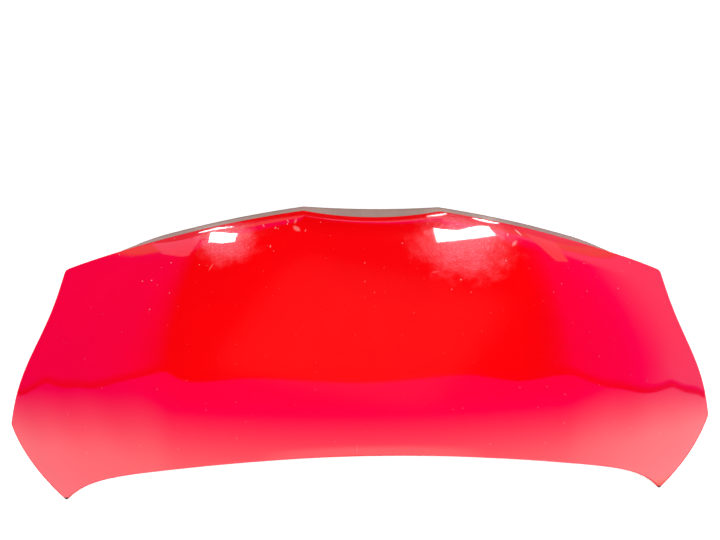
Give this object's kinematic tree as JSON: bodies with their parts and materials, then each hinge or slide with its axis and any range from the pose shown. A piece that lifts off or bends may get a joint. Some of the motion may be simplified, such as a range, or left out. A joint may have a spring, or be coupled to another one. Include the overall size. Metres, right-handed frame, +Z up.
{
  "type": "car bonnet",
  "caption": "Pressed steel car bonnet in glossy red paint with two raised character lines, an inner frame, hinge pads, a striker loop and rubber stops.",
  "frame": {"origin": "middle of the bounding box in plan, at the lowest point of the skin, where the panel rests outer face up", "axes": "+X across the car to the right of the picture, +Y forward to the nose, +Z up out of the outer face"},
  "size_m": [1.41, 0.578, 0.1167],
  "materials": {
    "skin_paint": "gloss clear coat over red, lightly scratched and stone chipped",
    "frame_primer": "satin grey-brown primer",
    "zinc_steel": "dull zinc plate",
    "rubber": "matt moulded rubber",
    "mastic": "dull expanded mastic"
  },
  "bodies": {
    "root": {"outer_skin": "skin_paint", "inner_frame": "frame_primer", "hinge_reinforcement_left": "zinc_steel", "hinge_weld_nut_left_1": "zinc_steel", "hinge_weld_nut_left_2": "zinc_steel", "hinge_reinforcement_right": "zinc_steel", "hinge_weld_nut_right_1": "zinc_steel", "hinge_weld_nut_right_2": "zinc_steel", "latch_reinforcement": "zinc_steel", "striker_plate": "zinc_steel", "striker_loop": "zinc_steel", "striker_weld_nut_left": "zinc_steel", "striker_bolt_left": "zinc_steel", "striker_weld_nut_right": "zinc_steel", "striker_bolt_right": "zinc_steel", "front_bump_stop_left": "rubber", "rear_bump_stop_left": "rubber", "blanking_plug_left_1": "rubber", "blanking_plug_left_2": "rubber", "front_bump_stop_right": "rubber", "rear_bump_stop_right": "rubber", "blanking_plug_right_1": "rubber", "blanking_plug_right_2": "rubber", "prop_rod_grommet": "rubber", "mastic_inner_left_1": "mastic", "mastic_inner_left_2": "mastic", "mastic_inner_right_1": "mastic", "mastic_inner_right_2": "mastic", "mastic_outer_left_1": "mastic", "mastic_outer_left_2": "mastic", "mastic_outer_right_1": "mastic", "mastic_outer_right_2": "mastic"}
  },
  "joints": []
}
